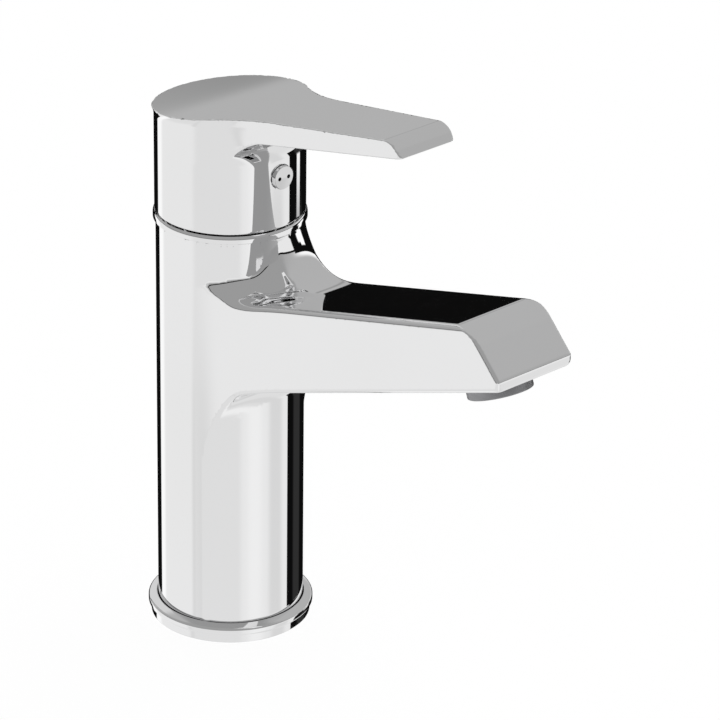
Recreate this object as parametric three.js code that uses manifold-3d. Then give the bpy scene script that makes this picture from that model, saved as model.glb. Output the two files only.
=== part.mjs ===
// Single-lever bathroom mixer faucet for a deck with one hole.
// Millimetres, +Z up. The origin is on the deck, on the axis of the body.
// +X runs along the spout, +Y is the cold side and -Y the hot side.

import * as THREE from 'three';
import { mergeVertices } from 'three/addons/utils/BufferGeometryUtils.js';
import Module from 'manifold-3d';

const wasm = await Module();
wasm.setup();

// ---------------------------------------------------------------- driving dimensions

const GAP = 0.3; // clearance between neighbouring pieces
const ROUND = 48; // sides on the large turned pieces
const FINE_ROUND = 24; // sides on the small turned pieces

const BODY_R = 23; // outside radius of the body
const BODY_BOTTOM_Z = 3.6;
const BODY_TOP_Z = 136.3;
const UNDER_BORE_R = 18.5; // hollow foot of the body, open at the deck
const UNDER_BORE_TOP_Z = 84.3;
const BLOCK_BOTTOM_Z = 46; // block inside the body that the hoses and the stud screw into
const INLET_X = -4;
const INLET_Y = 7.5;
const INLET_THREAD_R = 4.6; // tapping size of the M10 hose threads
const RISER_Y = 5.8;
const RISER_R = 3;
const STUD_X = 10;
const STUD_R = 4.25; // tapping size of the M10 fixing stud

const SPOUT_HALF_WIDTH = 15.4;
const SPOUT_BLEND_R = 100; // plan radius between the body and the flank of the spout
const SPOUT_TOP_Z0 = 111.75; // height of the top plane on the body's axis
const SPOUT_TOP_SLOPE = 0.2635;
const SPOUT_TIP_X = 132.6;
const SPOUT_LIP_Z = 126.2; // bottom of the front lip
const SPOUT_UNDER_SLOPE = 0.3535;
const SPOUT_FACE_TOP_X = 123.3;
const SPOUT_FACE_BOTTOM_Z = 129.8;
const SPOUT_BROW_X = 113; // where the top starts to turn down into the end face
const COVE_R = 18; // hollow between the body and the top of the spout
const ARCH_R = 30; // hollow under the root of the spout
const ARCH_FOOT_X = 7.2; // where the hollow runs out on the front of the body

const WATERWAY_R = 5.5;
const AERATOR_X = 117.55; // centre of the outlet on the spout's underside
const AERATOR_R = 10;
const AERATOR_PROUD = 3.7;
const AERATOR_DEPTH = 12;

const BASE_WALL_R = 25.2;
const BASE_LIP_R = 26.1;
const BASE_LIP_Z = 4.9;
const BASE_TOP_Z = 6.2;

const COLLAR_R = 23.85;
const COLLAR_BOTTOM_Z = BODY_TOP_Z + GAP;
const COLLAR_TOP_Z = 138.1;

const PIVOT_Z = 148.8; // height of the lever's pin
const HANDLE_R = 23.35;
const HANDLE_BOTTOM_Z = 138.8;
const HANDLE_BOTTOM_R = 22.2;
const HANDLE_CHAMFER = 3.7;
const HANDLE_WALL = 2.05;
const HANDLE_CEILING_Z = 160;
const HANDLE_TOP_Z0 = 174.5; // height of the top plane on the body's axis
const HANDLE_TOP_SLOPE = 0.174;
const HANDLE_REAR_SLOPE = 0.125;
const HANDLE_RIM_R = 24.1; // edge of the top plane
const HANDLE_RIM_DROP = 2.2;
const BLADE_UNDER_Z0 = 165.6;
const BLADE_UNDER_SLOPE = 0.212;
const BLADE_HALF_WIDTH = 15.1; // of the flanks, carried back to the body's axis
const BLADE_TAPER = 0.045;
const BLADE_BLEND_R = 45; // plan radius between the cap and the flank of the blade
const BLADE_FOLD_X = 80;
const BLADE_TIP_X = 86.7;

const SWEEP_R = 24.8; // sphere about the pin that the skirt of the handle moves inside
const GROOVE_FLOOR_Z = 131;
const NECK_R = 15.2;
const NECK_TOP_Z = 145.8;
const CHAMBER_R = 13;
const CHAMBER_FLOOR_Z = 120.6;

const CARTRIDGE_R = 12.6;
const PORT_X = -4.2;
const PORT_Y = 4.8;
const OUTLET_X = 5.6;
const DISC_R = 10.6;
const MOVING_DISC_R = 7;
const TURRET_R = 9;
const PIN_R = 1.5;
const STEM_HALF = 2.3;
const BALL_R = 2.6;
const BALL_Z = 138.3;

const INDICATOR_Z = 155.8;
const INDICATOR_R = 3.8;
const INDICATOR_FACE_X = 24.5;
const MARK_R = 0.65;
const MARK_Y = 1.8;

// ---------------------------------------------------------------- materials

function material(color, roughness, metalness) {
  return new THREE.MeshStandardMaterial({ color, roughness, metalness });
}

const chrome = material(0xd9dbdd, 0.06, 1);
const brass = material(0xb8995a, 0.35, 1);
const steel = material(0xb5b7b8, 0.3, 1);
const ceramic = material(0xf1efe8, 0.25, 0);
const whitePlastic = material(0xe6e6e2, 0.45, 0);
const greyPlastic = material(0x8d9194, 0.5, 0);
const blackRubber = material(0x1c1c1d, 0.8, 0);
const redEnamel = material(0xb3202a, 0.3, 0);
const blueEnamel = material(0x2747a0, 0.3, 0);

// ---------------------------------------------------------------- solids

function solid(geometry) {
  const bare = geometry.index ? geometry.toNonIndexed() : geometry.clone();
  bare.deleteAttribute('normal');
  bare.deleteAttribute('uv');
  const merged = mergeVertices(bare, 1e-4);
  return new wasm.Manifold(new wasm.Mesh({
    numProp: 3,
    vertProperties: new Float32Array(merged.attributes.position.array),
    triVerts: new Uint32Array(merged.index.array),
  }));
}

function geometryOf(manifold) {
  const mesh = manifold.getMesh();
  const geometry = new THREE.BufferGeometry();
  geometry.setAttribute('position', new THREE.BufferAttribute(mesh.vertProperties, 3));
  geometry.setIndex(new THREE.BufferAttribute(mesh.triVerts, 1));
  geometry.computeVertexNormals();
  return geometry;
}

// A turned solid about Z. The profile lists [radius, height] from bottom to top on the outside;
// a ring closes on itself, and a full body starts and ends on the axis.
function turned(profile, sides = ROUND) {
  const points = profile.map(([r, z]) => new THREE.Vector2(r, z));
  const onAxis = profile[0][0] === 0;
  if (!onAxis) points.push(points[0].clone());
  const geometry = new THREE.LatheGeometry(points, sides);
  geometry.rotateX(Math.PI / 2);
  return solid(geometry);
}

function drum(radius, z0, z1, sides = ROUND) {
  return turned([[0, z0], [radius, z0], [radius, z1], [0, z1]], sides);
}

function ring(inner, outer, z0, z1, sides = ROUND) {
  return turned([[inner, z0], [outer, z0], [outer, z1], [inner, z1]], sides);
}

function block(x0, x1, y0, y1, z0, z1) {
  const geometry = new THREE.BoxGeometry(x1 - x0, y1 - y0, z1 - z0);
  geometry.translate((x0 + x1) / 2, (y0 + y1) / 2, (z0 + z1) / 2);
  return solid(geometry);
}

// A plan outline, raised from z0 to z1.
function plate(shape, z0, z1, curveSegments) {
  const geometry = new THREE.ExtrudeGeometry(shape, { depth: z1 - z0, bevelEnabled: false, curveSegments });
  geometry.translate(0, 0, z0);
  return solid(geometry);
}

// A side outline of [x, z] points, as wide as twice halfWidth along Y.
function cheek(outline, halfWidth) {
  const shape = new THREE.Shape(outline.map(([x, z]) => new THREE.Vector2(x, z)));
  const geometry = new THREE.ExtrudeGeometry(shape, { depth: 2 * halfWidth, bevelEnabled: false });
  geometry.rotateX(Math.PI / 2);
  geometry.translate(0, halfWidth, 0);
  return solid(geometry);
}

function lengthwiseRod(radius, x0, x1, y, z, sides = FINE_ROUND) {
  const geometry = new THREE.CylinderGeometry(radius, radius, x1 - x0, sides);
  geometry.rotateZ(Math.PI / 2);
  geometry.translate((x0 + x1) / 2, y, z);
  return solid(geometry);
}

function crosswiseRod(radius, halfLength, x, z, sides = FINE_ROUND) {
  const geometry = new THREE.CylinderGeometry(radius, radius, 2 * halfLength, sides);
  geometry.translate(x, 0, z);
  return solid(geometry);
}

function uprightRod(radius, x, y, z0, z1, sides = FINE_ROUND) {
  const geometry = new THREE.CylinderGeometry(radius, radius, z1 - z0, sides);
  geometry.rotateX(Math.PI / 2);
  geometry.translate(x, y, (z0 + z1) / 2);
  return solid(geometry);
}

// Points on an arc about [cx, cz], from one angle to another, in degrees.
function arc(cx, cz, radius, fromDeg, toDeg, steps) {
  const points = [];
  for (let i = 0; i <= steps; i += 1) {
    const angle = THREE.MathUtils.degToRad(fromDeg + ((toDeg - fromDeg) * i) / steps);
    points.push([cx + radius * Math.cos(angle), cz + radius * Math.sin(angle)]);
  }
  return points;
}

// ---------------------------------------------------------------- shared lines of the shape

const spoutTop = (x) => SPOUT_TOP_Z0 + SPOUT_TOP_SLOPE * x;
const spoutUnder = (x) => SPOUT_LIP_Z - SPOUT_UNDER_SLOPE * (SPOUT_TIP_X - x);
const handleTop = (x) => HANDLE_TOP_Z0 + (x < 0 ? HANDLE_REAR_SLOPE : HANDLE_TOP_SLOPE) * x;
const bladeUnder = (x) => BLADE_UNDER_Z0 + BLADE_UNDER_SLOPE * x;
const sweepRadius = (z) => Math.sqrt(SWEEP_R ** 2 - (PIVOT_Z - z) ** 2);
const underTilt = Math.atan(SPOUT_UNDER_SLOPE);

// The plan of a round cap or body with an arm along +X. The arm's flanks draw in by `taper`, and
// run into the round in hollow arcs.
function armedPlan(roundR, halfWidth, taper, blendR, endX) {
  const lean = Math.atan(taper);
  const reach = roundR + blendR;
  const touch = Math.asin((halfWidth * Math.cos(lean) + blendR) / reach) - lean;
  const blendX = reach * Math.cos(touch);
  const blendY = reach * Math.sin(touch);
  const endHalf = halfWidth - taper * endX;
  const shape = new THREE.Shape();
  shape.absarc(0, 0, roundR, touch, 2 * Math.PI - touch, false);
  shape.absarc(blendX, -blendY, blendR, Math.PI - touch, Math.PI / 2 + lean, true);
  shape.lineTo(endX, -endHalf);
  shape.lineTo(endX, endHalf);
  shape.absarc(blendX, blendY, blendR, -Math.PI / 2 - lean, touch - Math.PI, true);
  return shape;
}

// ---------------------------------------------------------------- body and spout

// The spout seen from the side: straight top and underside, a turned-down end face, and an arch
// that brings the underside down onto the body.
function spoutSide() {
  const archX = ARCH_FOOT_X + ARCH_R;
  const archZ = spoutUnder(archX) - ARCH_R / Math.cos(underTilt);
  const arch = arc(archX, archZ, ARCH_R, 90 + THREE.MathUtils.radToDeg(underTilt), 180, 9);
  return [
    [0, archZ],
    ...arch.reverse(),
    [SPOUT_TIP_X, SPOUT_LIP_Z],
    [SPOUT_TIP_X, SPOUT_FACE_BOTTOM_Z],
    [SPOUT_FACE_TOP_X, SPOUT_FACE_BOTTOM_Z + 9.6],
    [SPOUT_FACE_TOP_X - 2.2, spoutTop(SPOUT_BROW_X) - 0.3],
    [SPOUT_BROW_X + 5, spoutTop(SPOUT_BROW_X) + 0.3],
    [SPOUT_BROW_X, spoutTop(SPOUT_BROW_X)],
    [0, spoutTop(0)],
  ];
}

// The hollow sweep from the front of the body down onto the top plane of the spout.
function cove() {
  const reach = BODY_R + COVE_R;
  const sweep = arc(reach, COVE_R, COVE_R, 270, 180, 8);
  const flare = turned([[0, -12], [reach, -12], ...sweep, [0, COVE_R]]);
  const alongTop = new THREE.Matrix4().makeShear(0, SPOUT_TOP_SLOPE, 0, 0, 0, 0);
  const lift = new THREE.Matrix4().makeTranslation(0, 0, SPOUT_TOP_Z0);
  const front = block(0, reach + 1, -BODY_R, BODY_R, 80, 160);
  return flare.transform(lift.multiply(alongTop).toArray()).intersect(front);
}

function waterway() {
  const middle = (x) => (spoutTop(x) + spoutUnder(x)) / 2;
  const path = new THREE.CatmullRomCurve3([
    new THREE.Vector3(OUTLET_X, 0, CHAMBER_FLOOR_Z + 1),
    new THREE.Vector3(OUTLET_X, 0, CHAMBER_FLOOR_Z - 8),
    new THREE.Vector3(22, 0, middle(22) + 1),
    new THREE.Vector3(50, 0, middle(50)),
    new THREE.Vector3(85, 0, middle(85)),
    new THREE.Vector3(AERATOR_X - 2, 0, middle(AERATOR_X) + 1),
  ]);
  const section = new THREE.Shape();
  section.absarc(0, 0, WATERWAY_R, 0, 2 * Math.PI, false);
  return solid(new THREE.ExtrudeGeometry(section, {
    steps: 22,
    bevelEnabled: false,
    extrudePath: path,
    curveSegments: 6,
  }));
}

// Moves a piece from the outlet's own frame, with its mouth at z = 0, to the underside of the spout.
function atOutlet(piece) {
  const turn = new THREE.Matrix4().makeRotationY(-underTilt);
  const move = new THREE.Matrix4().makeTranslation(AERATOR_X, 0, spoutUnder(AERATOR_X));
  return piece.transform(move.multiply(turn).toArray());
}

function grooveAroundNeck() {
  const wall = [GROOVE_FLOOR_Z, 132.5, 134, 135.2, BODY_TOP_Z + 2].map((z) => [sweepRadius(z), z]);
  return turned([[NECK_R, GROOVE_FLOOR_Z], ...wall, [NECK_R, BODY_TOP_Z + 2]]);
}

function faucetBody() {
  const column = drum(BODY_R, BODY_BOTTOM_Z, BODY_TOP_Z);
  const neck = drum(NECK_R, BODY_TOP_Z - 2, NECK_TOP_Z);
  const elevation = cheek(spoutSide(), BODY_R + 2).add(cove());
  const plan = armedPlan(BODY_R, SPOUT_HALF_WIDTH, 0, SPOUT_BLEND_R, SPOUT_TIP_X + 5);
  const spout = plate(plan, 40, 160, 24).intersect(elevation);
  let body = column.add(spout).subtract(grooveAroundNeck()).add(neck);
  body = body.subtract(drum(CHAMBER_R, CHAMBER_FLOOR_Z, NECK_TOP_Z + 1));
  body = body.subtract(drum(UNDER_BORE_R, BODY_BOTTOM_Z - 1, UNDER_BORE_TOP_Z, 32));
  body = body.subtract(waterway());
  for (const side of [-1, 1]) {
    const riser = [RISER_R, INLET_X, side * RISER_Y, UNDER_BORE_TOP_Z - 1, CHAMBER_FLOOR_Z + 1, 16];
    body = body.subtract(uprightRod(...riser));
  }
  return body.subtract(atOutlet(drum(AERATOR_R + GAP, -8, AERATOR_DEPTH, 32)));
}

function inletBlock() {
  const top = UNDER_BORE_TOP_Z - GAP;
  let block = drum(UNDER_BORE_R - GAP, BLOCK_BOTTOM_Z, top, 32);
  for (const side of [-1, 1]) {
    const y = side * INLET_Y;
    block = block.subtract(uprightRod(INLET_THREAD_R, INLET_X, y, BLOCK_BOTTOM_Z - 1, top + 1));
  }
  return block.subtract(uprightRod(STUD_R, STUD_X, 0, BLOCK_BOTTOM_Z - 1, top + 1));
}

function baseRing() {
  return turned([
    [21.5, 0],
    [BASE_WALL_R, 0],
    [BASE_WALL_R, 2.8],
    [BASE_LIP_R, 3.2],
    [BASE_LIP_R, BASE_LIP_Z],
    [BASE_LIP_R - 0.4, BASE_LIP_Z + 0.4],
    [BODY_R + GAP, BASE_TOP_Z],
    [BODY_R + GAP, BODY_BOTTOM_Z - GAP],
    [UNDER_BORE_R, BODY_BOTTOM_Z - GAP],
    [UNDER_BORE_R, 1.9],
    [21.5, 1.9],
  ]);
}

function collarRing() {
  const middleZ = (COLLAR_BOTTOM_Z + COLLAR_TOP_Z) / 2;
  return turned([
    [sweepRadius(COLLAR_BOTTOM_Z) + 0.1, COLLAR_BOTTOM_Z],
    [COLLAR_R - 0.5, COLLAR_BOTTOM_Z],
    [COLLAR_R, middleZ - 0.3],
    [COLLAR_R, middleZ + 0.3],
    [COLLAR_R - 0.5, COLLAR_TOP_Z],
    [sweepRadius(COLLAR_TOP_Z) + 0.1, COLLAR_TOP_Z],
  ]);
}

// ---------------------------------------------------------------- cartridge

const SEAL_Z = CHAMBER_FLOOR_Z + GAP;
const BASE_Z = SEAL_Z + 1.4;
const FIXED_DISC_Z = BASE_Z + 5;
const MOVING_DISC_Z = FIXED_DISC_Z + 4;
const CARRIER_Z = MOVING_DISC_Z + 3.5;
const CARRIER_TOP_Z = 139.9;
const TURRET_Z = CARRIER_TOP_Z + 0.4;
const SHOULDER_Z = 142.4;
const TURRET_TOP_Z = 150.9;
const HOUSING_TUBE_R = 10.6;

function portSeal(x, y, radius) {
  return uprightRod(radius + 1.3, x, y, SEAL_Z, BASE_Z - GAP)
    .subtract(uprightRod(radius, x, y, SEAL_Z - 1, BASE_Z));
}

function withPorts(disc, z0, z1) {
  return disc
    .subtract(uprightRod(2, PORT_X, -PORT_Y, z0 - 1, z1 + 1, 16))
    .subtract(uprightRod(2, PORT_X, PORT_Y, z0 - 1, z1 + 1, 16))
    .subtract(uprightRod(2.6, OUTLET_X, 0, z0 - 1, z1 + 1, 16));
}

function cartridgeBase() {
  const top = FIXED_DISC_Z - GAP;
  return withPorts(drum(11, BASE_Z, top, 32), BASE_Z, top);
}

function fixedDisc() {
  const top = MOVING_DISC_Z - GAP;
  return withPorts(drum(DISC_R, FIXED_DISC_Z, top, 32), FIXED_DISC_Z, top);
}

// The water passes from the inlets to the outlet through a hollow in the underside of this disc.
function movingDisc() {
  const disc = drum(MOVING_DISC_R, MOVING_DISC_Z, CARRIER_Z - GAP, 32);
  return disc.subtract(drum(4.6, MOVING_DISC_Z - 1, MOVING_DISC_Z + 1.6, 24));
}

function discCarrier() {
  const body = drum(MOVING_DISC_R - 0.2, CARRIER_Z, CARRIER_TOP_Z, 32);
  return body.subtract(drum(BALL_R + GAP, BALL_Z - BALL_R - 0.4, CARRIER_TOP_Z + 1, 24));
}

function cartridgeHousing() {
  return turned([
    [11.3, BASE_Z],
    [CARTRIDGE_R, BASE_Z],
    [CARTRIDGE_R, SHOULDER_Z + 1.2],
    [HOUSING_TUBE_R, SHOULDER_Z + 1.2],
    [HOUSING_TUBE_R, 148.6],
    [TURRET_R + GAP, 148.6],
    [TURRET_R + GAP, SHOULDER_Z],
    [11.3, SHOULDER_Z],
  ]);
}

function turret() {
  const body = turned([
    [0, TURRET_Z],
    [10.8, TURRET_Z],
    [10.8, SHOULDER_Z - GAP],
    [TURRET_R, SHOULDER_Z - GAP],
    [TURRET_R, TURRET_TOP_Z],
    [0, TURRET_TOP_Z],
  ]);
  return body
    .subtract(block(-3.6, 6.3, -2.8, 2.8, TURRET_Z - 1, TURRET_TOP_Z + 1))
    .subtract(crosswiseRod(PIN_R + GAP, TURRET_R + 1, 0, PIVOT_Z, 16));
}

function stem() {
  const ball = new THREE.SphereGeometry(BALL_R, 16, 12);
  ball.translate(0, 0, BALL_Z);
  return solid(ball)
    .add(drum(1.8, BALL_Z, 142, 16))
    .add(block(-STEM_HALF, STEM_HALF, -STEM_HALF, STEM_HALF, 141.5, 164.5))
    .subtract(crosswiseRod(PIN_R + GAP, 5, 0, PIVOT_Z, 16));
}

function cartridgeNut() {
  const flange = new THREE.CylinderGeometry(15.8, 15.8, 2.3, 6);
  flange.rotateX(Math.PI / 2);
  flange.translate(0, 0, NECK_TOP_Z + GAP + 1.15);
  return solid(flange)
    .add(drum(CHAMBER_R - GAP, SHOULDER_Z + 1.5, NECK_TOP_Z + 1))
    .subtract(drum(HOUSING_TUBE_R + GAP, SHOULDER_Z, NECK_TOP_Z + 5));
}

// ---------------------------------------------------------------- handle

// The cap's rim and the blade seen from the side, with the tip folded down to a sharp lower edge.
function bladeSide() {
  const rear = -HANDLE_RIM_R - 1;
  const root = 16;
  return [
    [rear, handleTop(rear) - HANDLE_RIM_DROP],
    [0, handleTop(0) - HANDLE_RIM_DROP],
    [root, handleTop(root) - HANDLE_RIM_DROP],
    [root, bladeUnder(root)],
    [BLADE_TIP_X, bladeUnder(BLADE_TIP_X)],
    [BLADE_FOLD_X + 4.6, handleTop(BLADE_FOLD_X) - 2.2],
    [BLADE_FOLD_X + 2.2, handleTop(BLADE_FOLD_X) - 0.3],
    [BLADE_FOLD_X, handleTop(BLADE_FOLD_X)],
    [0, handleTop(0)],
    [rear, handleTop(rear)],
  ];
}

function skirt() {
  const column = turned([
    [0, HANDLE_BOTTOM_Z],
    [HANDLE_BOTTOM_R, HANDLE_BOTTOM_Z],
    [HANDLE_R, HANDLE_BOTTOM_Z + HANDLE_CHAMFER],
    [HANDLE_R, 190],
    [0, 190],
  ]);
  const rear = -HANDLE_RIM_R - 2;
  const outline = [[rear, 130], [30, 130], [30, handleTop(30)], [0, handleTop(0)], [rear, handleTop(rear)]];
  return column.intersect(cheek(outline, 30));
}

function handle() {
  const inner = HANDLE_R - HANDLE_WALL;
  const hollow = turned([
    [0, HANDLE_BOTTOM_Z - 1],
    [HANDLE_BOTTOM_R - 1.6, HANDLE_BOTTOM_Z - 1],
    [HANDLE_BOTTOM_R - 1.6, HANDLE_BOTTOM_Z],
    [inner, HANDLE_BOTTOM_Z + 3],
    [inner, HANDLE_CEILING_Z],
    [0, HANDLE_CEILING_Z],
  ]);
  const plan = armedPlan(HANDLE_RIM_R, BLADE_HALF_WIDTH, BLADE_TAPER, BLADE_BLEND_R, BLADE_TIP_X + 1);
  const blade = plate(plan, 150, 200, 14).intersect(cheek(bladeSide(), 30));
  const clamp = block(-4.5, inner + 0.6, -4.5, 4.5, 153.2, HANDLE_CEILING_Z + 1);
  const socket = STEM_HALF + GAP;
  return skirt()
    .add(blade)
    .subtract(hollow)
    .add(clamp)
    .subtract(block(-socket, socket, -socket, socket, 150, 164.8))
    .subtract(lengthwiseRod(2.2, 0, HANDLE_R + 1, 0, INDICATOR_Z))
    .subtract(lengthwiseRod(INDICATOR_R + GAP, 22.6, HANDLE_R + 3, 0, INDICATOR_Z));
}

function indicatorCap() {
  let cap = lengthwiseRod(INDICATOR_R, 22.9, INDICATOR_FACE_X, 0, INDICATOR_Z, 32);
  cap = cap.add(lengthwiseRod(1.9, 17, 23.2, 0, INDICATOR_Z));
  for (const side of [-1, 1]) {
    cap = cap.subtract(lengthwiseRod(MARK_R + GAP, INDICATOR_FACE_X - 1, 26, side * MARK_Y, INDICATOR_Z, 16));
  }
  return cap;
}

function colourMark(side) {
  return lengthwiseRod(MARK_R, INDICATOR_FACE_X - 0.7, INDICATOR_FACE_X, side * MARK_Y, INDICATOR_Z, 16);
}

function setScrew() {
  const screw = lengthwiseRod(1.9, STEM_HALF + GAP, 11, 0, INDICATOR_Z);
  const hexagon = new THREE.CylinderGeometry(1.15, 1.15, 4, 6);
  hexagon.rotateZ(Math.PI / 2);
  hexagon.translate(11, 0, INDICATOR_Z);
  return screw.subtract(solid(hexagon));
}

// ---------------------------------------------------------------- aerator

function aeratorHousing() {
  return atOutlet(turned([
    [7.6, -AERATOR_PROUD],
    [AERATOR_R - 0.4, -AERATOR_PROUD],
    [AERATOR_R, -AERATOR_PROUD + 0.4],
    [AERATOR_R, 8.6],
    [8.2, 8.6],
    [8.2, -0.9],
    [7.6, -0.9],
  ], 32));
}

// The jet former: a dish whose floor is pierced by a ring of holes.
function aeratorInsert() {
  let dish = drum(7.9, -0.6, 5, 32).subtract(drum(6.4, 1, 6, 32));
  for (let i = 0; i < 8; i += 1) {
    const angle = (i * Math.PI) / 4;
    dish = dish.subtract(uprightRod(1.1, 4.3 * Math.cos(angle), 4.3 * Math.sin(angle), -2, 2, 8));
  }
  return atOutlet(dish);
}

function aeratorScreen() {
  return atOutlet(ring(0.8, 7.8, 5.3, 6.3, 32));
}

function aeratorGasket() {
  return atOutlet(ring(5.6, 9.6, 8.9, 10.9, 32));
}

// ---------------------------------------------------------------- assembly

const faucet = new THREE.Group();

function part(name, manifold, finish) {
  const mesh = new THREE.Mesh(geometryOf(manifold), finish);
  mesh.name = name;
  faucet.add(mesh);
}

part('faucet_body', faucetBody(), chrome);
part('base_ring', baseRing(), chrome);
part('base_gasket', ring(UNDER_BORE_R, 21.2, 0, 1.6), blackRubber);
part('collar_ring', collarRing(), chrome);

part('inlet_block', inletBlock(), brass);
part('hot_inlet_seal', portSeal(PORT_X, -PORT_Y, 2), blackRubber);
part('cold_inlet_seal', portSeal(PORT_X, PORT_Y, 2), blackRubber);
part('outlet_seal', portSeal(OUTLET_X, 0, 2.6), blackRubber);
part('cartridge_base', cartridgeBase(), whitePlastic);
part('fixed_disc', fixedDisc(), ceramic);
part('moving_disc', movingDisc(), ceramic);
part('disc_carrier', discCarrier(), greyPlastic);
part('cartridge_housing', cartridgeHousing(), whitePlastic);
part('cartridge_nut', cartridgeNut(), brass);
part('turret', turret(), greyPlastic);
part('pivot_pin', crosswiseRod(PIN_R, 8, 0, PIVOT_Z, 16), steel);
part('stem', stem(), brass);

part('handle', handle(), chrome);
part('set_screw', setScrew(), steel);
part('indicator_cap', indicatorCap(), chrome);
part('hot_mark', colourMark(-1), redEnamel);
part('cold_mark', colourMark(1), blueEnamel);

part('aerator_housing', aeratorHousing(), chrome);
part('aerator_insert', aeratorInsert(), greyPlastic);
part('aerator_screen', aeratorScreen(), steel);
part('aerator_gasket', aeratorGasket(), blackRubber);

export default faucet;
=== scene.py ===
import math

import bmesh
import bpy
import numpy as np
from mathutils import Matrix, Vector


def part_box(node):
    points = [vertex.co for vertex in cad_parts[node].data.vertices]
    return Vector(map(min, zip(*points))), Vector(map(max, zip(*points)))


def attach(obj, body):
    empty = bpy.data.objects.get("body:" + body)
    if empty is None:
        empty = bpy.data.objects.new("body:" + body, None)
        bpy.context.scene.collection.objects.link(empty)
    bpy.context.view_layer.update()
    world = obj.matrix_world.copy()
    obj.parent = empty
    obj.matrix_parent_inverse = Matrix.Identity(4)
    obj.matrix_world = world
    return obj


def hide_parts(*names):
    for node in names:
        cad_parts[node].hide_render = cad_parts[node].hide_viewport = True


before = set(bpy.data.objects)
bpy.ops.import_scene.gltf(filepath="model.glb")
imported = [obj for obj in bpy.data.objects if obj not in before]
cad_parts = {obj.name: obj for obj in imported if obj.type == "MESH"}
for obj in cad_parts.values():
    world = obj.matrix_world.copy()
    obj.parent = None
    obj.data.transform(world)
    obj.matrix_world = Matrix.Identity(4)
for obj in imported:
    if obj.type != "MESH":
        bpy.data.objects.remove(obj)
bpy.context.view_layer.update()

# Looks for a single-lever bathroom mixer faucet. Shapes are worked out in millimetres, in the
# frame's own axes: +X runs along the spout, +Z is up, and the origin is on the deck under the body.
# The body and the handle are signed distance fields, negative inside, that are meshed and then
# moved onto their exact surface. The other outer pieces are turned outlines, and the nodes inside
# are the CAD's own meshes with materials.

MM = 0.001


def node_size(node):
    """Lowest and highest corner of a CAD node, in millimetres."""
    low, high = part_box(node)
    return low / MM, high / MM


# ------------------------------------------------------------------ sizes, in millimetres

body_low, body_high = node_size("faucet_body")
_, ring_high = node_size("base_ring")
collar_low, collar_high = node_size("collar_ring")
handle_low, _ = node_size("handle")
cap_low, cap_high = node_size("indicator_cap")

BODY_R = body_high.y
BODY_BOTTOM_Z = body_low.z
BODY_TOP_Z = 136.3
FOOT_BORE_R = 18.5
FOOT_BORE_TOP_Z = 84.3
RISER_X, RISER_Y, RISER_R = -4.0, 5.8, 3.0
CHAMBER_R, CHAMBER_FLOOR_Z = 13.0, 120.6
NECK_R, NECK_TOP_Z = 15.2, 145.8
GROOVE_FLOOR_Z = 131.0
PIVOT_Z, SWEEP_R = 148.8, 25.6

SPOUT_HALF_WIDTH = 15.4
SPOUT_BLEND_R = 100.0
SPOUT_TOP_Z0, SPOUT_TOP_SLOPE = 111.75, 0.2635
SPOUT_TIP_X = body_high.x
SPOUT_LIP_Z, SPOUT_UNDER_SLOPE = 126.2, 0.3535
END_FACE_FOOT_Z, END_FACE_SLOPE = 129.8, -1.032
LID_RISE_X, LID_RISE_SLOPE = 30.0, 0.5
COVE_R, COVE_POWER = 10.5, 2.5
COVE_MIDDLE_GROWTH, COVE_FAR_GROWTH = 9.5, 3.0
ARCH_R, ARCH_FOOT_X = 30.0, 7.2
ARCH_FILLET_R = 6.0
BROW_R = 5.8
SPOUT_EDGE_R = 2.0
LIP_EDGE_R = 0.45
END_CORNER_R, END_CORNER_SET = 3.0, 1.3
BODY_EDGE_R = 0.25

AERATOR_X, AERATOR_R, AERATOR_PROUD, AERATOR_DEPTH = 117.55, 10.0, 3.7, 12.0
AERATOR_GAP = 0.3
OUTLET_TILT = math.atan(SPOUT_UNDER_SLOPE)
OUTLET_Z = SPOUT_LIP_Z - SPOUT_UNDER_SLOPE * (SPOUT_TIP_X - AERATOR_X)

HANDLE_R, HANDLE_BOTTOM_Z = 23.35, handle_low.z
HANDLE_TUCK, HANDLE_TUCK_HEIGHT = 0.3, 0.7
HANDLE_WALL, HANDLE_CEILING_Z = 2.05, 160.0
HANDLE_MOUTH_R, HANDLE_MOUTH_HEIGHT = 20.6, 4.5
CLAMP_HALF_WIDTH, CLAMP_BOTTOM_Z = 4.5, 153.2
STEM_HALF_WIDTH, STEM_SLOT_LOW_Z, STEM_SLOT_HIGH_Z = 2.6, 150.0, 164.8
SCREW_BORE_R = 2.2
TOP_Z0, TOP_SLOPE, TOP_REAR_SLOPE = 174.5, 0.174, 0.125
RIM_R, RIM_DROP = 24.1, 2.4
BLADE_HALF_WIDTH, BLADE_TAPER, BLADE_BLEND_R = 15.1, 0.045, 45.0
BLADE_LOW_BLEND_R = 30.0
BLADE_UNDER_Z0, BLADE_UNDER_SLOPE = 165.6, 0.212
BLADE_TIP_X, NOSE_SLOPE = 86.5, -1.28
BLADE_ROOT_FILLET_R = 9.0
TOP_DISH_R = 2200.0

INDICATOR_R, INDICATOR_Z = cap_high.y, (cap_low.z + cap_high.z) / 2
INDICATOR_FACE_X = cap_high.x
SEAT_GAP, SEAT_FLOOR_X, SEAT_TOP_Z = 0.12, 22.6, 162.0


# ------------------------------------------------------------------ distance fields

def joined(a, b, radius, power=2.0):
    """Union of two fields, with a hollow fillet where they meet. A higher power eases it in."""
    near_a, near_b = np.maximum(radius - a, 0), np.maximum(radius - b, 0)
    corner = (near_a ** power + near_b ** power) ** (1 / power)
    return np.maximum(radius, np.minimum(a, b)) - corner


def common(a, b, radius):
    """Intersection of two fields, with their shared edge rounded."""
    corner = np.hypot(np.maximum(radius + a, 0), np.maximum(radius + b, 0))
    return np.minimum(-radius, np.maximum(a, b)) + corner


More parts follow.
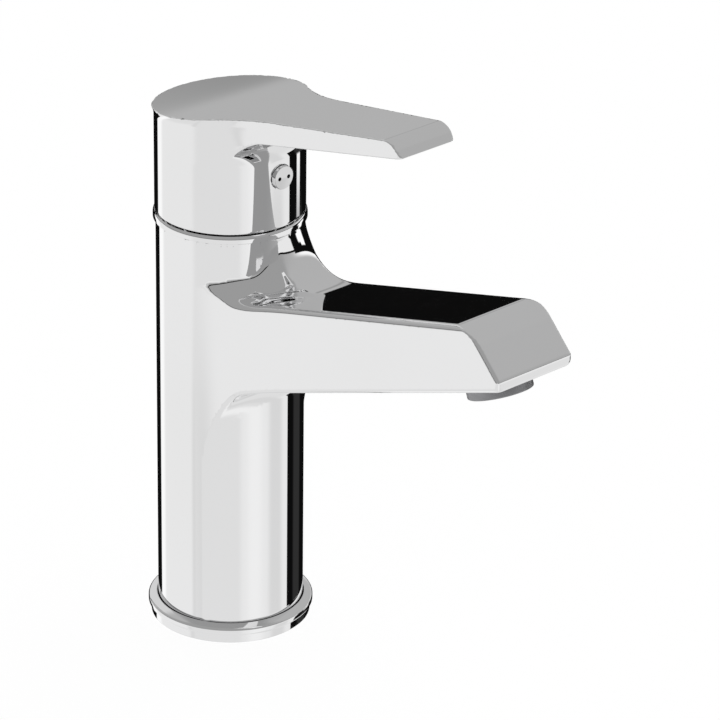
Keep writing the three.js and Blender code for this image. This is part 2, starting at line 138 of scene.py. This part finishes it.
def cut(a, b, radius=0.3):
    """a with b taken away."""
    return common(a, -b, radius)


def smooth(low, high, value):
    """A share that eases from 0 at low to 1 at high."""
    t = np.clip((value - low) / (high - low), 0, 1)
    return t * t * (3 - 2 * t)


def above(x, z, z0, slope):
    """Distance above a plane that climbs along +X."""
    return (z - z0 - slope * x) / math.hypot(1, slope)


def drum(x, y, z, radius, low, high, edge=0.3, cx=0.0, cy=0.0):
    """An upright drum between two heights, with rounded edges."""
    side = np.hypot(x - cx, y - cy) - radius
    return common(side, np.maximum(low - z, z - high), edge)


def armed_plan(x, y, round_r, half_width, taper, blend_r):
    """A circle with an arm along +X, whose flanks run into the circle in hollow arcs."""
    y = np.abs(y)
    lean = math.atan(taper)
    reach = round_r + blend_r
    touch = math.asin((half_width * math.cos(lean) + blend_r) / reach) - lean
    blend_x, blend_y = reach * math.cos(touch), reach * math.sin(touch)
    on_round = x * blend_y < y * blend_x
    on_flank = (x - blend_x) * math.cos(lean) > (y - blend_y) * math.sin(lean)
    flank = (y - half_width + taper * x) * math.cos(lean)
    arc = blend_r - np.hypot(x - blend_x, y - blend_y)
    return np.where(on_round, np.hypot(x, y) - round_r, np.where(on_flank, flank, arc))


def under_spout(x, z):
    """Distance below the underside of the spout and the arch at its root."""
    plane = -above(x, z, SPOUT_LIP_Z - SPOUT_UNDER_SLOPE * SPOUT_TIP_X, SPOUT_UNDER_SLOPE)
    centre_x = ARCH_FOOT_X + ARCH_R
    centre_z = (SPOUT_LIP_Z - SPOUT_UNDER_SLOPE * (SPOUT_TIP_X - centre_x)
                - ARCH_R / math.cos(OUTLET_TILT))
    u, v = x - centre_x, z - centre_z
    arch = ARCH_R - np.hypot(u, v)
    along = u * math.cos(OUTLET_TILT) + v * math.sin(OUTLET_TILT)
    return np.where(along > 0, plane, np.where(v < 0, x - ARCH_FOOT_X, arch))


def outlet_frame(x, y, z):
    """Coordinates in the outlet's own frame, with its mouth at 0 and its axis up into the spout."""
    u, v = x - AERATOR_X, z - OUTLET_Z
    return (u * math.cos(OUTLET_TILT) + v * math.sin(OUTLET_TILT), y,
            v * math.cos(OUTLET_TILT) - u * math.sin(OUTLET_TILT))


def body_field(x, y, z):
    """The cast body: column and spout, groove and neck, cartridge chamber, foot and risers."""
    radial = np.hypot(x, y)
    column = radial - BODY_R
    plan = armed_plan(x, y, BODY_R, SPOUT_HALF_WIDTH, 0.0, SPOUT_BLEND_R)
    cove_r = COVE_R + COVE_MIDDLE_GROWTH * smooth(-10, 0, y) + COVE_FAR_GROWTH * smooth(2, 18, y)
    top = joined(column, above(x, z, SPOUT_TOP_Z0, SPOUT_TOP_SLOPE), cove_r, COVE_POWER)
    foot = END_FACE_FOOT_Z - END_FACE_SLOPE * SPOUT_TIP_X
    face = above(x, z, foot, END_FACE_SLOPE)
    lip = x - SPOUT_TIP_X
    under = joined(column, under_spout(x, z), ARCH_FILLET_R)
    arm_share = smooth(0, 5, column - plan)
    edge = BODY_EDGE_R + (SPOUT_EDGE_R - BODY_EDGE_R) * arm_share
    sides = common(plan, common(face, lip, LIP_EDGE_R) - END_CORNER_SET, END_CORNER_R)
    spout = common(sides, common(top, under, 2.0), edge)
    brow = common(top, face, BROW_R)
    end = common(common(brow, lip, LIP_EDGE_R), under, 0.8)
    spout = common(spout, end, LIP_EDGE_R)
    lid = z - BODY_TOP_Z - LID_RISE_SLOPE * np.maximum(x - LID_RISE_X, 0)
    outer = common(np.minimum(column, spout), np.maximum(lid, BODY_BOTTOM_Z - z), 0.3)
    bowl = np.hypot(radial, z - PIVOT_Z) - SWEEP_R
    groove = np.maximum(np.maximum(bowl, GROOVE_FLOOR_Z - z), NECK_R - radial)
    solid = cut(outer, groove)
    neck = drum(x, y, z, NECK_R, GROOVE_FLOOR_Z - 2, NECK_TOP_Z)
    solid = np.minimum(solid, neck)
    solid = cut(solid, drum(x, y, z, CHAMBER_R, CHAMBER_FLOOR_Z, NECK_TOP_Z + 5, 0.1))
    solid = cut(solid, drum(x, y, z, FOOT_BORE_R, BODY_BOTTOM_Z - 5, FOOT_BORE_TOP_Z, 0.6))
    for cy in (-RISER_Y, RISER_Y):
        riser = drum(x, y, z, RISER_R, FOOT_BORE_TOP_Z - 2, CHAMBER_FLOOR_Z + 2, 0.2, RISER_X, cy)
        solid = cut(solid, riser)
    socket = drum(*outlet_frame(x, y, z), AERATOR_R + AERATOR_GAP, -8.0, AERATOR_DEPTH, 0.1)
    return cut(solid, socket, 0.3)


def handle_field(x, y, z):
    """The handle: cap and blade in one, its hollow, the stem clamp and the plug's seat."""
    radial = np.hypot(x, y)
    mean_slope = (TOP_SLOPE + TOP_REAR_SLOPE) / 2
    bend = (TOP_SLOPE - TOP_REAR_SLOPE) / 2 * (np.hypot(x, 8.0) - 8.0)
    dish = y ** 2 / (2 * TOP_DISH_R)
    top = above(x, z - bend - dish, TOP_Z0, mean_slope)
    tuck = np.clip((HANDLE_BOTTOM_Z + HANDLE_TUCK_HEIGHT - z) / HANDLE_TUCK_HEIGHT, 0, 1)
    skirt = radial - HANDLE_R + HANDLE_TUCK * tuck ** 2
    plan = armed_plan(x, y, RIM_R, BLADE_HALF_WIDTH, BLADE_TAPER, BLADE_BLEND_R)
    low_plan = armed_plan(x, y, RIM_R, BLADE_HALF_WIDTH, BLADE_TAPER, BLADE_LOW_BLEND_R)
    plan = plan + (low_plan - plan) * smooth(2, 9, -top)
    under = -above(x, z, BLADE_UNDER_Z0, BLADE_UNDER_SLOPE)
    flare = 1 - np.clip(1 + top / RIM_DROP, 0, 1) ** 2
    rim = plan + (RIM_R - HANDLE_R) * flare * (1 - smooth(6, 24, x))
    sides = common(rim, x - BLADE_TIP_X - 0.5, 2.6)
    nose_z = BLADE_UNDER_Z0 + BLADE_UNDER_SLOPE * BLADE_TIP_X
    nose = above(x, z, nose_z - NOSE_SLOPE * BLADE_TIP_X, NOSE_SLOPE)
    fold = common(top, nose, 3.0)
    blade = common(sides, joined(skirt, under, BLADE_ROOT_FILLET_R), 0.5)
    blade = common(blade, fold, 0.3)
    outer = common(np.minimum(common(skirt, top, 0.4), blade), HANDLE_BOTTOM_Z - z, 0.3)
    inner = HANDLE_R - HANDLE_WALL
    hollow = drum(x, y, z, inner, HANDLE_BOTTOM_Z + 3.0, HANDLE_CEILING_Z, 1.0)
    mouth = drum(x, y, z, HANDLE_MOUTH_R, HANDLE_BOTTOM_Z - 5.0,
                 HANDLE_BOTTOM_Z + HANDLE_MOUTH_HEIGHT, 0.1)
    solid = cut(outer, np.minimum(hollow, mouth))
    clamp = np.maximum(np.abs(y) - CLAMP_HALF_WIDTH,
                       np.maximum(CLAMP_BOTTOM_Z - z, z - HANDLE_CEILING_Z - 1))
    clamp = np.maximum(clamp, np.maximum(-CLAMP_HALF_WIDTH - x, x - inner - 0.6))
    solid = np.minimum(solid, clamp)
    stem = np.maximum(np.maximum(np.abs(x), np.abs(y)) - STEM_HALF_WIDTH,
                      np.maximum(STEM_SLOT_LOW_Z - z, z - STEM_SLOT_HIGH_Z))
    solid = cut(solid, stem, 0.1)
    from_plug_axis = np.hypot(y, z - INDICATOR_Z)
    bore = np.maximum(from_plug_axis - SCREW_BORE_R, np.maximum(-x, x - 30))
    solid = cut(solid, bore, 0.1)
    seat = np.maximum(from_plug_axis - INDICATOR_R - SEAT_GAP, SEAT_FLOOR_X - x)
    seat = np.maximum(seat, np.maximum(x - 30, z - SEAT_TOP_Z))
    return cut(solid, seat, 0.15)


# ------------------------------------------------------------------ meshing

def ticks(*stops):
    """Grid lines along an axis. Each stop is a position and the spacing after it."""
    lines = []
    for (start, step), (end, _) in zip(stops[:-1], stops[1:]):
        count = max(1, round((end - start) / step))
        lines.extend(start + (end - start) * np.arange(count) / count)
    lines.append(stops[-1][0])
    return np.array(lines)


def slope_of(field, points, reach=0.01):
    """The field's gradient at points."""
    result = np.empty_like(points)
    for axis in range(3):
        step = np.zeros(3)
        step[axis] = reach
        result[:, axis] = (field(*(points + step).T) - field(*(points - step).T)) / (2 * reach)
    return result


def settle(field, points, rounds=4, limit=0.6):
    """Moves points along the gradient onto the surface."""
    for _ in range(rounds):
        slope = slope_of(field, points)
        share = field(*points.T) / np.maximum((slope ** 2).sum(1), 0.2)
        step = slope * share[:, None]
        length = np.linalg.norm(step, axis=1)[:, None]
        points = points - step * np.minimum(1, limit / np.maximum(length, 1e-9))
    return points


def net_of(field, lines):
    """Points and four-sided faces of a surface net round the inside of a field."""
    value = field(*np.meshgrid(*lines, indexing="ij"))
    cells = tuple(n - 1 for n in value.shape)
    total = np.zeros(cells + (3,))
    count = np.zeros(cells)
    crossings = []
    for axis in range(3):
        low = np.take(value, range(cells[axis]), axis)
        high = np.take(value, range(1, cells[axis] + 1), axis)
        at = np.array(np.nonzero((low < 0) != (high < 0)))
        before, after = low[tuple(at)], high[tuple(at)]
        point = np.array([lines[a][at[a]] for a in range(3)])
        span = lines[axis][at[axis] + 1] - lines[axis][at[axis]]
        point[axis] += span * before / (before - after)
        others = ((axis + 1) % 3, (axis + 2) % 3)
        corner_cells = []
        for first, second in ((-1, -1), (0, -1), (0, 0), (-1, 0)):
            cell = at.copy()
            cell[others[0]] += first
            cell[others[1]] += second
            np.add.at(total, tuple(cell), point.T)
            np.add.at(count, tuple(cell), 1)
            corner_cells.append(cell)
        crossings.append((corner_cells, before < 0))
    used = count > 0
    number = np.cumsum(used.ravel()).reshape(cells) - 1
    points = total[used] / count[used][:, None]
    faces = []
    for corner_cells, outward in crossings:
        quad = np.stack([number[tuple(c)] for c in corner_cells], 1)
        faces.append(np.where(outward[:, None], quad, quad[:, ::-1]))
    return points, np.concatenate(faces)


def relax(points, faces, share=0.5):
    """Moves each point part of the way to the middle of the faces round it."""
    middles = points[faces].mean(1)
    total, count = np.zeros_like(points), np.zeros(len(points))
    for corner in range(faces.shape[1]):
        np.add.at(total, faces[:, corner], middles)
        np.add.at(count, faces[:, corner], 1)
    return points + share * (total / count[:, None] - points)


def read_points(mesh):
    """The mesh's vertices as rows of x, y and z."""
    flat = np.empty(len(mesh.vertices) * 3)
    mesh.vertices.foreach_get("co", flat)
    return flat.reshape(-1, 3)


def refine(mesh, field, bend_limit, shortest):
    """Splits the edges that the surface turns along, and sets the new points on the surface."""
    points = read_points(mesh)
    slope = slope_of(field, points)
    normals = slope / np.linalg.norm(slope, axis=1)[:, None]
    pairs = np.empty(len(mesh.edges) * 2, int)
    mesh.edges.foreach_get("vertices", pairs)
    a, b = pairs.reshape(-1, 2).T
    turn = (normals[a] * normals[b]).sum(1)
    length = np.linalg.norm(points[a] - points[b], axis=1)
    chosen = np.nonzero((turn < math.cos(math.radians(bend_limit))) & (length > shortest))[0]
    sheet = bmesh.new()
    sheet.from_mesh(mesh)
    sheet.edges.ensure_lookup_table()
    bmesh.ops.subdivide_edges(sheet, edges=[sheet.edges[i] for i in chosen], cuts=1,
                              use_grid_fill=True)
    bmesh.ops.smooth_vert(sheet, verts=sheet.verts, factor=0.4,
                          use_axis_x=True, use_axis_y=True, use_axis_z=True)
    sheet.to_mesh(mesh)
    sheet.free()
    mesh.vertices.foreach_set("co", settle(field, read_points(mesh)).ravel())
    mesh.update()


REFINE_LEVELS, BEND_LIMIT_DEG, SHORTEST_EDGE = 3, 14.0, 0.22


def field_piece(name, field, lines, material):
    """A smooth closed mesh of a distance field, with the field's own normals."""
    points, faces = net_of(field, lines)
    for _ in range(2):
        points = settle(field, relax(points, faces))
    mesh = bpy.data.meshes.new(name)
    mesh.from_pydata(points.tolist(), [], faces.tolist())
    for _ in range(REFINE_LEVELS):
        refine(mesh, field, BEND_LIMIT_DEG, SHORTEST_EDGE)
    return shaded(name, mesh, slope_of(field, read_points(mesh)), material)


def shaded(name, mesh, normals, material):
    """An object in the scene from a mesh in millimetres and a normal for each of its points."""
    mesh.polygons.foreach_set("use_smooth", [True] * len(mesh.polygons))
    mesh.transform(Matrix.Scale(MM, 4))
    mesh.validate()
    normals = normals / np.maximum(np.linalg.norm(normals, axis=1)[:, None], 1e-9)
    mesh.normals_split_custom_set_from_vertices(normals.tolist())
    mesh.materials.append(material)
    piece = bpy.data.objects.new(name, mesh)
    bpy.context.scene.collection.objects.link(piece)
    return piece


CREASE_DEG = 32.0


def turned_piece(name, profile, material, sides, place=None):
    """A closed ring or drum turned about Z from [radius, height] points, given anticlockwise."""
    sheet = bmesh.new()
    rings = []
    for r, z in profile:
        if r < 1e-6:
            rings.append([sheet.verts.new((0, 0, z))] * sides)
            continue
        rings.append([sheet.verts.new((r * math.cos(2 * math.pi * i / sides),
                                       r * math.sin(2 * math.pi * i / sides), z))
                      for i in range(sides)])
    for low, high in zip(rings, rings[1:] + rings[:1]):
        for i in range(sides):
            j = (i + 1) % sides
            corners = []
            for v in (low[i], low[j], high[j], high[i]):
                if v not in corners:
                    corners.append(v)
            if len(corners) > 2:
                sheet.faces.new(corners)
    if place is not None:
        sheet.transform(place)
    sheet.transform(Matrix.Scale(MM, 4))
    bmesh.ops.recalc_face_normals(sheet, faces=sheet.faces)
    mesh = bpy.data.meshes.new(name)
    for face in sheet.faces:
        face.smooth = True
    sheet.to_mesh(mesh)
    sheet.free()
    mesh.set_sharp_from_angle(angle=math.radians(CREASE_DEG))
    mesh.materials.append(material)
    piece = bpy.data.objects.new(name, mesh)
    bpy.context.scene.collection.objects.link(piece)
    return piece


def bead(corners, radius, steps=4):
    """The corners of an outline, each rounded by a small radius."""
    outline = []
    count = len(corners)
    for i, corner in enumerate(corners):
        here = Vector(corner)
        back = Vector(corners[i - 1]) - here
        ahead = Vector(corners[(i + 1) % count]) - here
        if corner[0] < 1e-6:
            outline.append(corner)
            continue
        reach = min(radius, back.length / 2.2, ahead.length / 2.2)
        start, end = here + back.normalized() * reach, here + ahead.normalized() * reach
        for k in range(steps + 1):
            t = k / steps
            p = start * (1 - t) ** 2 + here * 2 * t * (1 - t) + end * t ** 2
            outline.append((p.x, p.y))
    return outline


# ------------------------------------------------------------------ materials

class Recipe:
    """A material under construction: a Principled shader and helpers that wire nodes to it."""

    def __init__(self, name, color, metallic=0.0, **fixed):
        self.material = bpy.data.materials.new(name)
        self.material.use_nodes = True
        self.tree = self.material.node_tree
        self.shader = self.tree.nodes["Principled BSDF"]
        self.shader.inputs["Base Color"].default_value = (*color, 1)
        self.shader.inputs["Metallic"].default_value = metallic
        for socket, value in fixed.items():
            self.shader.inputs[socket.replace("_", " ")].default_value = value
        place = self.tree.nodes.new("ShaderNodeTexCoord")
        self.place = place.outputs["Object"]

    def noise(self, scale, detail=4.0, stretch=None):
        source = self.place
        if stretch:
            mapping = self.tree.nodes.new("ShaderNodeMapping")
            mapping.inputs["Scale"].default_value = stretch
            self.tree.links.new(source, mapping.inputs["Vector"])
            source = mapping.outputs["Vector"]
        node = self.tree.nodes.new("ShaderNodeTexNoise")
        node.inputs["Scale"].default_value = scale
        node.inputs["Detail"].default_value = detail
        self.tree.links.new(source, node.inputs["Vector"])
        return node.outputs["Fac"]

    def spread(self, value, low, high):
        node = self.tree.nodes.new("ShaderNodeMapRange")
        node.inputs["From Min"].default_value = 0.3
        node.inputs["From Max"].default_value = 0.7
        node.inputs["To Min"].default_value = low
        node.inputs["To Max"].default_value = high
        self.tree.links.new(value, node.inputs["Value"])
        return node.outputs["Result"]

    def roughness(self, value, low, high):
        self.tree.links.new(self.spread(value, low, high), self.shader.inputs["Roughness"])

    def tint(self, value, dark, light):
        node = self.tree.nodes.new("ShaderNodeMix")
        node.data_type = "RGBA"
        node.inputs["A"].default_value = (*dark, 1)
        node.inputs["B"].default_value = (*light, 1)
        self.tree.links.new(self.spread(value, 0.0, 1.0), node.inputs["Factor"])
        self.tree.links.new(node.outputs["Result"], self.shader.inputs["Base Color"])

    def relief(self, value, height_mm, strength=1.0):
        node = self.tree.nodes.new("ShaderNodeBump")
        node.inputs["Distance"].default_value = height_mm * MM
        node.inputs["Strength"].default_value = strength
        self.tree.links.new(value, node.inputs["Height"])
        self.tree.links.new(node.outputs["Normal"], self.shader.inputs["Normal"])


def chrome_finish(name, shine=0.91):
    """Polished plating: a clear mirror with faint wipe marks and the ripple of the buffed brass."""
    recipe = Recipe(name, (shine, shine, shine * 1.004), metallic=1.0)
    recipe.roughness(recipe.noise(55.0, 5.0, (1, 1, 0.35)), 0.015, 0.045)
    recipe.tint(recipe.noise(18.0, 3.0), (shine * 0.985,) * 3, (shine, shine, shine * 1.006))
    recipe.relief(recipe.noise(90.0, 2.0), 0.002, 0.25)
    return recipe.material


def machined_finish(name, dark, light, low, high):
    """Turned metal, with fine lines round its axis and slight changes of colour."""
    recipe = Recipe(name, light, metallic=1.0)
    lines = recipe.noise(900.0, 3.0, (0.05, 0.05, 1))
    recipe.roughness(lines, low, high)
    recipe.tint(recipe.noise(120.0), dark, light)
    recipe.relief(lines, 0.02, 0.5)
    return recipe.material


def moulded_finish(name, dark, light, low, high, grain=1400.0, height=0.03, **fixed):
    """Moulded plastic, ceramic or rubber with a fine surface grain."""
    recipe = Recipe(name, light, **fixed)
    fine = recipe.noise(grain, 4.0)
    recipe.roughness(fine, low, high)
    recipe.tint(recipe.noise(160.0), dark, light)
    recipe.relief(fine, height, 0.4)
    return recipe.material


chrome = chrome_finish("plated_chrome")
handle_chrome = chrome_finish("plated_chrome_handle", 0.90)
# The indicator button uses the same mirror chrome with its colour lowered from 0.91 to 0.76. This is
# painted shade, so the button face reads darker than the rest of the plating.
painted_shade_cap_chrome = chrome_finish("cap_chrome_painted_shade", 0.76)
# The aerator ring's rough satin finish is its own. Its dark grey colour, well below bare steel, is
# painted shade that stands in for the grey shadow the ring reflects.
painted_shade_outlet_satin = machined_finish("satin_outlet_painted_shade", (0.30, 0.30, 0.31), (0.37, 0.37, 0.38), 0.36, 0.48)
brass = machined_finish("turned_brass", (0.50, 0.34, 0.13), (0.66, 0.47, 0.20), 0.22, 0.38)
steel = machined_finish("turned_steel", (0.50, 0.51, 0.52), (0.64, 0.65, 0.66), 0.18, 0.34)
ceramic = moulded_finish("lapped_ceramic", (0.80, 0.79, 0.75), (0.88, 0.87, 0.83), 0.10, 0.22,
                         height=0.004)
white_plastic = moulded_finish("white_plastic", (0.74, 0.74, 0.72), (0.82, 0.82, 0.80), 0.35, 0.5)
grey_plastic = moulded_finish("grey_plastic", (0.24, 0.26, 0.28), (0.31, 0.33, 0.35), 0.38, 0.55)
rubber = moulded_finish("black_rubber", (0.012, 0.012, 0.013), (0.03, 0.03, 0.031), 0.6, 0.85,
                        900.0, 0.05)
red_enamel = moulded_finish("red_enamel", (0.30, 0.01, 0.015), (0.48, 0.02, 0.03), 0.2, 0.35,
                            height=0.005, Coat_Weight=0.5)
blue_enamel = moulded_finish("blue_enamel", (0.02, 0.04, 0.14), (0.04, 0.08, 0.26), 0.2, 0.35,
                             height=0.005, Coat_Weight=0.5)


# ------------------------------------------------------------------ outer pieces

body = field_piece(
    "body_shell",
    body_field,
    (ticks((-25.0, 1.3), (18.0, 1.3), (104.0, 1.0), (134.4, 0)),
     ticks((-25.0, 1.25), (25.0, 0)),
     ticks((2.0, 3.0), (53.0, 1.3), (126.0, 0.9), (148.0, 0))),
    chrome)

handle = field_piece(
    "lever_handle",
    handle_field,
    (ticks((-26.0, 0.9), (89.0, 0)),
     ticks((-26.0, 0.9), (26.0, 0)),
     ticks((137.0, 0.8), (190.5, 0))),
    handle_chrome)

for piece, node, rides in ((body, "faucet_body", "body"), (handle, "handle", "lever")):
    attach(piece, rides)
    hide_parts(node)


# ------------------------------------------------------------------ turned outer pieces

base_ring = turned_piece("base_flange", bead([
    (21.5, 0.0), (25.2, 0.0), (25.2, 2.9), (ring_high.y, 3.3), (ring_high.y, 4.9),
    (25.7, 5.35), (23.3, ring_high.z), (23.3, 3.3), (18.6, 3.3), (18.6, 1.9), (21.5, 1.9),
], 0.35), chrome, 200)
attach(base_ring, "body")
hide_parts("base_ring")

collar_r, collar_foot, collar_crown = collar_high.y, collar_low.z - 0.5, collar_high.z + 0.45
collar = turned_piece("collar_bead", [
    (22.5, collar_low.z), (BODY_R + 0.15, collar_low.z), (BODY_R + 0.15, collar_foot),
    (collar_r - 0.12, collar_foot), (collar_r, collar_foot + 0.12), (collar_r, collar_crown - 1.2),
    (collar_r - 0.05, collar_crown - 0.85), (collar_r - 0.15, collar_crown - 0.5),
    (collar_r - 0.32, collar_crown - 0.18), (collar_r - 0.46, collar_crown), (23.32, collar_crown),
], chrome, 200)
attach(collar, "body")
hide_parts("collar_ring")

outlet = Matrix.Translation((AERATOR_X, 0, OUTLET_Z)) @ Matrix.Rotation(-OUTLET_TILT, 4, "Y")
housing = turned_piece("aerator_ring", bead([
    (7.6, -AERATOR_PROUD), (AERATOR_R, -AERATOR_PROUD), (AERATOR_R, 8.6), (8.2, 8.6),
    (8.2, -0.9), (7.6, -0.9),
], 0.4), painted_shade_outlet_satin, 120, outlet)
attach(housing, "body")
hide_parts("aerator_housing")

along_x = Matrix.Translation((0, 0, INDICATOR_Z)) @ Matrix.Rotation(math.pi / 2, 4, "Y")
cap = turned_piece("indicator_button", bead([
    (0, 17.0), (1.9, 17.0), (1.9, 22.9), (INDICATOR_R, 22.9), (INDICATOR_R, INDICATOR_FACE_X),
    (0, INDICATOR_FACE_X),
], 0.25), painted_shade_cap_chrome, 72, along_x)
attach(cap, "lever")
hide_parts("indicator_cap")

# ------------------------------------------------------------------ CAD nodes shown as they are

FINISHES = {
    "base_gasket": (rubber, "black_rubber"),
    "hot_inlet_seal": (rubber, "black_rubber"),
    "cold_inlet_seal": (rubber, "black_rubber"),
    "outlet_seal": (rubber, "black_rubber"),
    "aerator_gasket": (rubber, "black_rubber"),
    "cartridge_base": (white_plastic, "white_plastic"),
    "cartridge_housing": (white_plastic, "white_plastic"),
    "aerator_insert": (grey_plastic, "grey_plastic"),
    "fixed_disc": (ceramic, "ceramic"),
    "moving_disc": (ceramic, "ceramic"),
    "disc_carrier": (grey_plastic, "grey_plastic"),
    "turret": (grey_plastic, "grey_plastic"),
    "inlet_block": (brass, "brass"),
    "cartridge_nut": (brass, "brass"),
    "stem": (brass, "brass"),
    "pivot_pin": (steel, "steel"),
    "set_screw": (steel, "steel"),
    "aerator_screen": (steel, "steel"),
    "hot_mark": (red_enamel, "red_enamel"),
    "cold_mark": (blue_enamel, "blue_enamel"),
}
for node, (finish, slot_name) in FINISHES.items():
    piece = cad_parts[node]
    piece.data.materials.clear()
    piece.data.materials.append(finish)
    piece.data.set_sharp_from_angle(angle=math.radians(30))
    piece.data.polygons.foreach_set("use_smooth", [True] * len(piece.data.polygons))


# ------------------------------------------------------------------ studio

scene = bpy.context.scene
scene.view_settings.view_transform = "Standard"

FLOOR_HALF, FLOOR_DROP = 15.0, 0.0002
floor_mesh = bpy.data.meshes.new("floor")
floor_corners = [(x * FLOOR_HALF, y * FLOOR_HALF, 0) for x, y in ((-1, -1), (1, -1), (1, 1), (-1, 1))]
floor_mesh.from_pydata(floor_corners, [], [(0, 1, 2, 3)])
floor = bpy.data.objects.new("floor", floor_mesh)
scene.collection.objects.link(floor)
floor.location.z = -FLOOR_DROP
floor.visible_glossy = False
floor_material = bpy.data.materials.new("pale_floor")
floor_material.use_nodes = True
floor_shader = floor_material.node_tree.nodes["Principled BSDF"]
floor_shader.inputs["Base Color"].default_value = (0.35, 0.35, 0.35, 1)
floor_shader.inputs["Roughness"].default_value = 0.9
floor_shader.inputs["Specular IOR Level"].default_value = 0.0
floor_shader.inputs["Emission Color"].default_value = (1, 1, 1, 1)
floor_shader.inputs["Emission Strength"].default_value = 0.86
floor_mesh.materials.append(floor_material)

world = bpy.data.worlds.new("studio")
world.use_nodes = True
scene.world = world
nodes, links = world.node_tree.nodes, world.node_tree.links


def math_node(kind, *values):
    """The result of a maths node. Each value is a number or another node's output."""
    node = nodes.new("ShaderNodeMath")
    node.operation = kind
    for socket, value in zip(node.inputs, values):
        if isinstance(value, (int, float)):
            socket.default_value = value
        else:
            links.new(value, socket)
    return node.outputs[0]


def ramp_node(value, low, high, to_low, to_high):
    """Eases from to_low to to_high as value goes from low to high."""
    node = nodes.new("ShaderNodeMapRange")
    node.interpolation_type = "SMOOTHSTEP"
    links.new(value, node.inputs["Value"])
    for socket, number in zip(("From Min", "From Max"), (low, high)):
        node.inputs[socket].default_value = number
    for socket, end in zip(("To Min", "To Max"), (to_low, to_high)):
        if isinstance(end, (int, float)):
            node.inputs[socket].default_value = end
        else:
            links.new(end, node.inputs[socket])
    return node.outputs["Result"]


direction = nodes.new("ShaderNodeSeparateXYZ")
links.new(nodes.new("ShaderNodeTexCoord").outputs["Generated"], direction.inputs[0])
dx, dy, dz = direction.outputs
bearing = math_node("DEGREES", math_node("ARCTAN2", dy, dx))
height = math_node("DEGREES", math_node("ARCSINE", dz))


def card(behind, bearings, heights, brightness, soft=(2.0, 2.0)):
    """A flat card in the studio, between two bearings and two heights in degrees."""
    middle, half_width = (bearings[0] + bearings[1]) / 2, (bearings[1] - bearings[0]) / 2
    centre_h, half_height = (heights[0] + heights[1]) / 2, (heights[1] - heights[0]) / 2
    away = math_node("ABSOLUTE", math_node("WRAP", math_node("SUBTRACT", bearing, middle),
                                           180.0, -180.0))
    rise = math_node("ABSOLUTE", math_node("SUBTRACT", height, centre_h))
    across = ramp_node(away, half_width - soft[0] / 2, half_width + soft[0] / 2, 1.0, 0.0)
    up = ramp_node(rise, half_height - soft[1] / 2, half_height + soft[1] / 2, 1.0, 0.0)
    cover = math_node("MULTIPLY", across, up)
    return ramp_node(cover, 0.0, 1.0, behind, brightness)


def cards_over(level, cards):
    """A brightness with cards laid over it, each in front of the ones before."""
    for bearings, heights, brightness, soft in cards:
        level = card(level, bearings, heights, brightness, soft)
    return level


# Each card: bearings and heights of its edges in degrees, its brightness, and how soft its edges are.
# The low cards are below the horizon and the high ones above it. The near ones stand in front of
# both: the horizon line, a wide black card on the far side, and that card's dim edge and bright gap.
HIGH_LEVEL = 0.35
LOW_CARDS = [
    ((-104, -90), (-90, -25), 0.71, (12, 3)),
    ((-100, -26), (-90, -14), 0.80, (16, 4)),
    ((-14, 8), (-90, -10), 0.94, (22, 8)),
    ((22, 46), (-90, -22.9), 0.74, (18, 1.5)),
    ((-184, -168), (-90, -5), 1.05, (14, 6)),
    ((-150, 12), (-7, 4), 0.34, (30, 14)),
]
HIGH_CARDS = [
    ((40, 205), (-10, 60), 0.47, (60, 12)),
    ((148, 177), (-10, 45), 0.70, (6, 10)),
    ((176.5, 180.5), (-10, 40), 0.12, (1, 4)),
    ((62, 124), (-5, 11), 1.05, (30, 12)),
    ((136, 146), (10, 13), 0.30, (8, 5)),
]
NEAR_CARDS = [
    ((-180, 180), (-1.8, 1.3), 0.006, (1, 0.4)),
    ((59.5, 176.5), (-34, 4.5), 0.004, (1.5, 1.0)),
    ((76, 98), (-34, -23.2), 0.03, (10, 0.5)),
    ((79, 89), (-23.2, -5), 1.15, (1.5, 3)),
    ((74, 90), (-19, -9), 1.15, (4, 4)),
]
low_light = cards_over(ramp_node(height, -46.0, -30.0, 0.80, 0.88), LOW_CARDS)
high_light = cards_over(HIGH_LEVEL, HIGH_CARDS)
light = cards_over(ramp_node(height, -0.3, 0.3, low_light, high_light), NEAR_CARDS)
shown = ramp_node(nodes.new("ShaderNodeLightPath").outputs["Is Camera Ray"], 0.0, 1.0, light, 1.0)
links.new(shown, nodes["Background"].inputs["Color"])

# ------------------------------------------------------------------ camera

AZIMUTH, ELEVATION, ROLL = (math.radians(a) for a in (46.5, 25.0, 0.651))
DISTANCE = 1.520
AIM = Vector((0.02587, 0.03116, 0.08575))
camera_data = bpy.data.cameras.new("camera")
camera_data.lens, camera_data.sensor_width = 243.3, 36.0
camera_data.clip_start, camera_data.clip_end = 0.05, 100.0
camera = bpy.data.objects.new("camera", camera_data)
scene.collection.objects.link(camera)
back = Vector((math.sin(AZIMUTH) * math.cos(ELEVATION), -math.cos(AZIMUTH) * math.cos(ELEVATION),
               math.sin(ELEVATION)))
right = Vector((math.cos(AZIMUTH), math.sin(AZIMUTH), 0))
up = back.cross(right)
facing = Matrix((right, up, back)).transposed() @ Matrix.Rotation(ROLL, 3, "Z")
camera.matrix_world = Matrix.Translation(AIM + back * DISTANCE) @ facing.to_4x4()
scene.camera = camera
